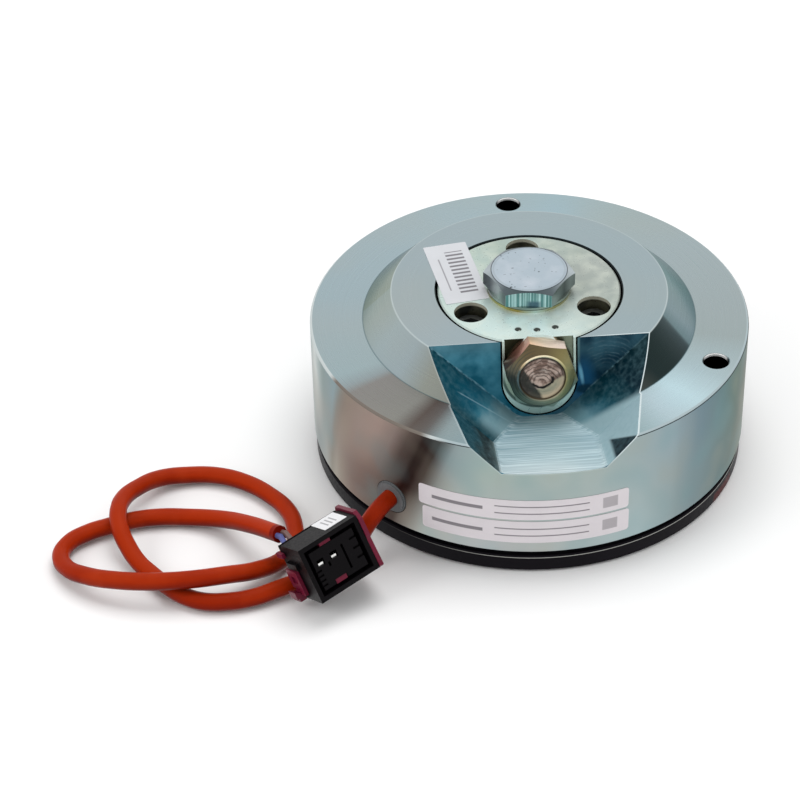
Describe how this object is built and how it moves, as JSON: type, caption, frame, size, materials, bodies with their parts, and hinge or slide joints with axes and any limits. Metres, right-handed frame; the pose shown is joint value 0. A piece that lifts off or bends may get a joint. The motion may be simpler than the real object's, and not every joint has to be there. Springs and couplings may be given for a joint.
{
  "type": "electromagnetic brake",
  "caption": "Round spring-applied brake with an electromagnet, a hydraulic port in a pocket and a free lead with a two-way connector.",
  "frame": {"origin": "on the brake's axis, on the surface that the end plate stands on", "axes": "+Z along the brake's axis, up through the boss; -Y towards the side with the pocket"},
  "size_m": [0.2335, 0.1778, 0.0704],
  "materials": {
    "zinc_steel": "turned, bright zinc with a faint blue cast",
    "pale_zinc_steel": "turned, pale yellow-green zinc",
    "plain_steel": "ground",
    "black_steel": "satin black",
    "black_gasket": "matt",
    "screw_steel": "zinc",
    "plug_steel": "zinc with grey flats",
    "gold_plug": "yellow passivated",
    "gold_ring": "yellow passivated",
    "spring_steel": "drawn wire",
    "copper_wire": "enamelled",
    "former": "moulded",
    "resin": "cast",
    "lining": "pressed friction material",
    "black_rubber": "smooth",
    "grey_rubber": "smooth",
    "orange_sheath": "smooth silicone",
    "blue_sheath": "smooth",
    "grey_sheath": "smooth",
    "black_plastic": "moulded",
    "red_plastic": "moulded",
    "tin": "tin plated"
  },
  "bodies": {
    "housing": {"magnet_body": "zinc_steel", "coil_former": "former", "coil_winding": "copper_wire", "coil_potting": "resin", "pressure_springs": "spring_steel", "guide_pins": "plain_steel", "end_plate": "black_steel", "end_plate_screws": "black_steel", "spacer_ring": "black_gasket", "hydraulic_insert": "pale_zinc_steel", "insert_screw_right": "screw_steel", "insert_screw_back": "screw_steel", "insert_screw_left": "screw_steel", "centre_plug": "plug_steel", "centre_plug_ring": "gold_ring", "port_plug": "gold_plug", "port_ring": "gold_ring", "cable_grommet": "grey_rubber", "cable": "orange_sheath", "wire_blue": "blue_sheath", "wire_grey": "grey_sheath", "connector_housing": "black_plastic", "connector_lock": "red_plastic", "connector_cover": "red_plastic", "connector_terminals": "tin"},
    "armature": {"armature_plate": "plain_steel"},
    "rotor": {"friction_disc": "plain_steel", "lining_upper": "lining", "lining_lower": "lining", "drive_hub": "plain_steel"},
    "piston": {"piston": "plain_steel", "piston_seal": "black_rubber"}
  },
  "joints": [
    {"name": "armature_slide", "type": "slide", "parent": "housing", "child": "armature", "axis": [0, 0, 1], "range_m": [0, 0.0004], "deforming": ["pressure_springs"]},
    {"name": "hub_spin", "type": "hinge", "parent": "housing", "child": "rotor", "pos_m": [0, 0, 0.005], "axis": [0, 0, 1], "continuous": true},
    {"name": "piston_slide", "type": "slide", "parent": "housing", "child": "piston", "axis": [0, 0, -1], "range_m": [0, 0.0005]}
  ]
}
